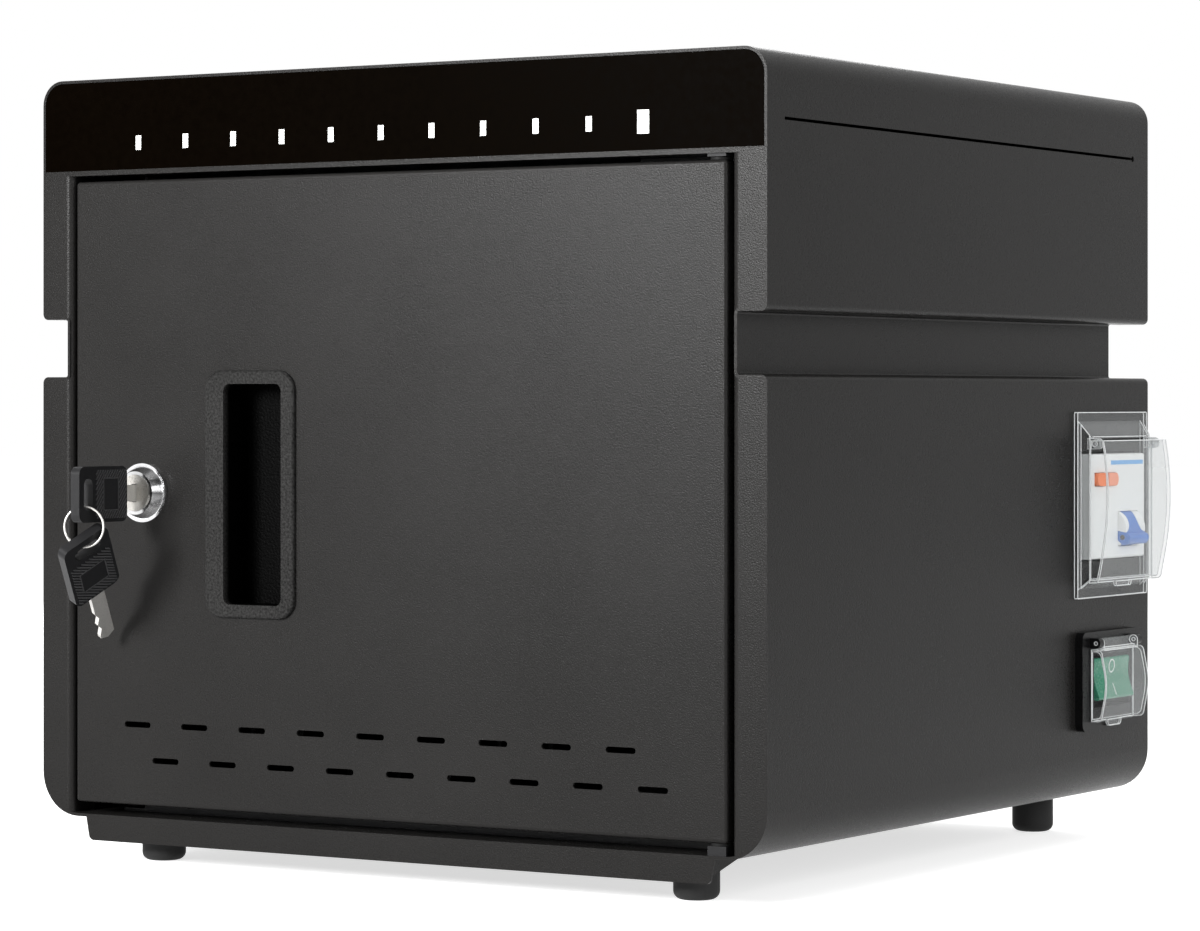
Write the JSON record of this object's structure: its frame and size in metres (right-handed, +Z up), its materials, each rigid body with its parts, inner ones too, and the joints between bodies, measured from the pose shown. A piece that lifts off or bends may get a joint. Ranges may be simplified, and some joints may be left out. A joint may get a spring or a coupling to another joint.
{
  "type": "device charging cabinet",
  "caption": "Desktop charging cabinet of charcoal sheet steel with a lockable vented door, device bays, a row of indicator windows, a guarded breaker and a guarded rocker switch.",
  "frame": {"origin": "on the floor, under the middle of the casing's footprint, between the four feet", "axes": "X to the right seen from the door, Y from the door to the back, Z up"},
  "size_m": [0.3598, 0.3898, 0.322],
  "materials": {
    "charcoal_coat": "fine-grain charcoal powder coat",
    "inner_coat": "satin charcoal powder coat",
    "zinc_steel": "bright zinc-plated steel",
    "gloss_black": "gloss black plastic",
    "light_window": "frosted pale plastic",
    "lamp": "small lamp bodies",
    "circuit_board": "green circuit board",
    "black_plastic": "grained black plastic",
    "bearing_plastic": "pale bearing plastic",
    "lock_chrome": "polished chrome",
    "nickel": "satin nickel",
    "key_plastic": "black moulded plastic",
    "bay_plastic": "light grey plastic",
    "port_metal": "plated socket shell",
    "aluminium_case": "perforated aluminium case",
    "inlet_plastic": "black thermoplastic",
    "brass_pin": "nickel brass contact",
    "breaker_white": "white moulded case",
    "lever_blue": "blue moulded lever",
    "button_orange": "orange moulded button",
    "clear_plastic": "clear polycarbonate",
    "switch_black": "black moulded plastic",
    "rocker_green": "translucent green plastic",
    "foot_rubber": "black rubber"
  },
  "bodies": {
    "cabinet": {"cabinet_shell": "charcoal_coat", "base_pan": "charcoal_coat", "electronics_shelf": "charcoal_coat", "right_stile": "charcoal_coat", "left_stile": "charcoal_coat", "back_panel": "charcoal_coat", "back_panel_screws": "zinc_steel", "front_panel": "gloss_black", "port_light_windows": "light_window", "power_light_window": "light_window", "indicator_lamps": "lamp", "indicator_board": "circuit_board", "indicator_bracket": "zinc_steel", "hinge_brackets": "zinc_steel", "hinge_pins": "zinc_steel", "left_liner": "inner_coat", "partition_wall": "inner_coat", "bay_rear_wall": "inner_coat", "bay_floor": "bay_plastic", "divider_rails": "bay_plastic", "bay_dividers": "bay_plastic", "usb_c_ports": "port_metal", "charging_board": "circuit_board", "board_standoffs": "zinc_steel", "power_supply": "aluminium_case", "mains_inlet": "inlet_plastic", "inlet_pins": "brass_pin", "inlet_screws": "zinc_steel", "breaker_body": "breaker_white", "din_rail": "zinc_steel", "breaker_guard": "clear_plastic", "switch_housing": "switch_black", "service_cover": "inner_coat", "service_cover_screws": "zinc_steel", "rubber_feet": "foot_rubber", "foot_screws": "zinc_steel"},
    "door": {"door_panel": "charcoal_coat", "door_pull": "black_plastic", "hinge_bushes": "bearing_plastic", "lock_body": "lock_chrome", "lock_nut": "zinc_steel"},
    "lock": {"lock_plug": "nickel", "lock_cam": "zinc_steel", "cam_screw": "zinc_steel", "key_head": "key_plastic", "key_blade": "nickel"},
    "ring": {"key_ring": "nickel"},
    "spare_key": {"spare_key_head": "key_plastic", "spare_key_blade": "nickel"},
    "breaker_cover": {"breaker_cover": "clear_plastic"},
    "breaker_lever": {"breaker_lever": "lever_blue"},
    "test_button": {"test_button": "button_orange"},
    "reset_button": {"reset_button": "button_orange"},
    "switch_rocker": {"switch_rocker": "rocker_green"},
    "switch_cover": {"switch_cover": "clear_plastic"}
  },
  "joints": [
    {"name": "door_swing", "type": "hinge", "parent": "cabinet", "child": "door", "pos_m": [0.1504, -0.1652, 0.152], "axis": [0, 0, 1], "range_deg": [0, 105]},
    {"name": "lock_turn", "type": "hinge", "parent": "door", "child": "lock", "pos_m": [-0.1195, -0.17, 0.1523], "axis": [0, 1, 0], "range_deg": [0, 90]},
    {"name": "ring_swing", "type": "hinge", "parent": "lock", "child": "ring", "pos_m": [-0.1195, -0.20875, 0.14745], "axis": [-0.9272, -0.3746, 0], "range_deg": [0, 40]},
    {"name": "spare_key_swing", "type": "hinge", "parent": "ring", "child": "spare_key", "pos_m": [-0.1195, -0.20875, 0.13125], "axis": [-0.9272, -0.3746, 0], "range_deg": [0, 60]},
    {"name": "breaker_cover_lift", "type": "hinge", "parent": "cabinet", "child": "breaker_cover", "pos_m": [0.1803, 0.1295, 0.1715], "axis": [0, -1, 0], "range_deg": [0, 100]},
    {"name": "breaker_lever_throw", "type": "hinge", "parent": "cabinet", "child": "breaker_lever", "pos_m": [0.1727, 0.13775, 0.1345], "axis": [0, -1, 0], "range_deg": [0, 56]},
    {"name": "test_button_press", "type": "slide", "parent": "cabinet", "child": "test_button", "axis": [-1, 0, 0], "range_m": [0, 0.0012], "stiffness_N_per_m": 800},
    {"name": "reset_button_press", "type": "slide", "parent": "cabinet", "child": "reset_button", "axis": [-1, 0, 0], "range_m": [0, 0.0012], "stiffness_N_per_m": 800},
    {"name": "rocker_tilt", "type": "hinge", "parent": "cabinet", "child": "switch_rocker", "pos_m": [0.171, 0.1245, 0.06985], "axis": [0, 1, 0], "range_deg": [0, 16]},
    {"name": "switch_cover_lift", "type": "hinge", "parent": "cabinet", "child": "switch_cover", "pos_m": [0.1786, 0.1245, 0.0863], "axis": [0, -1, 0], "range_deg": [0, 110]}
  ]
}
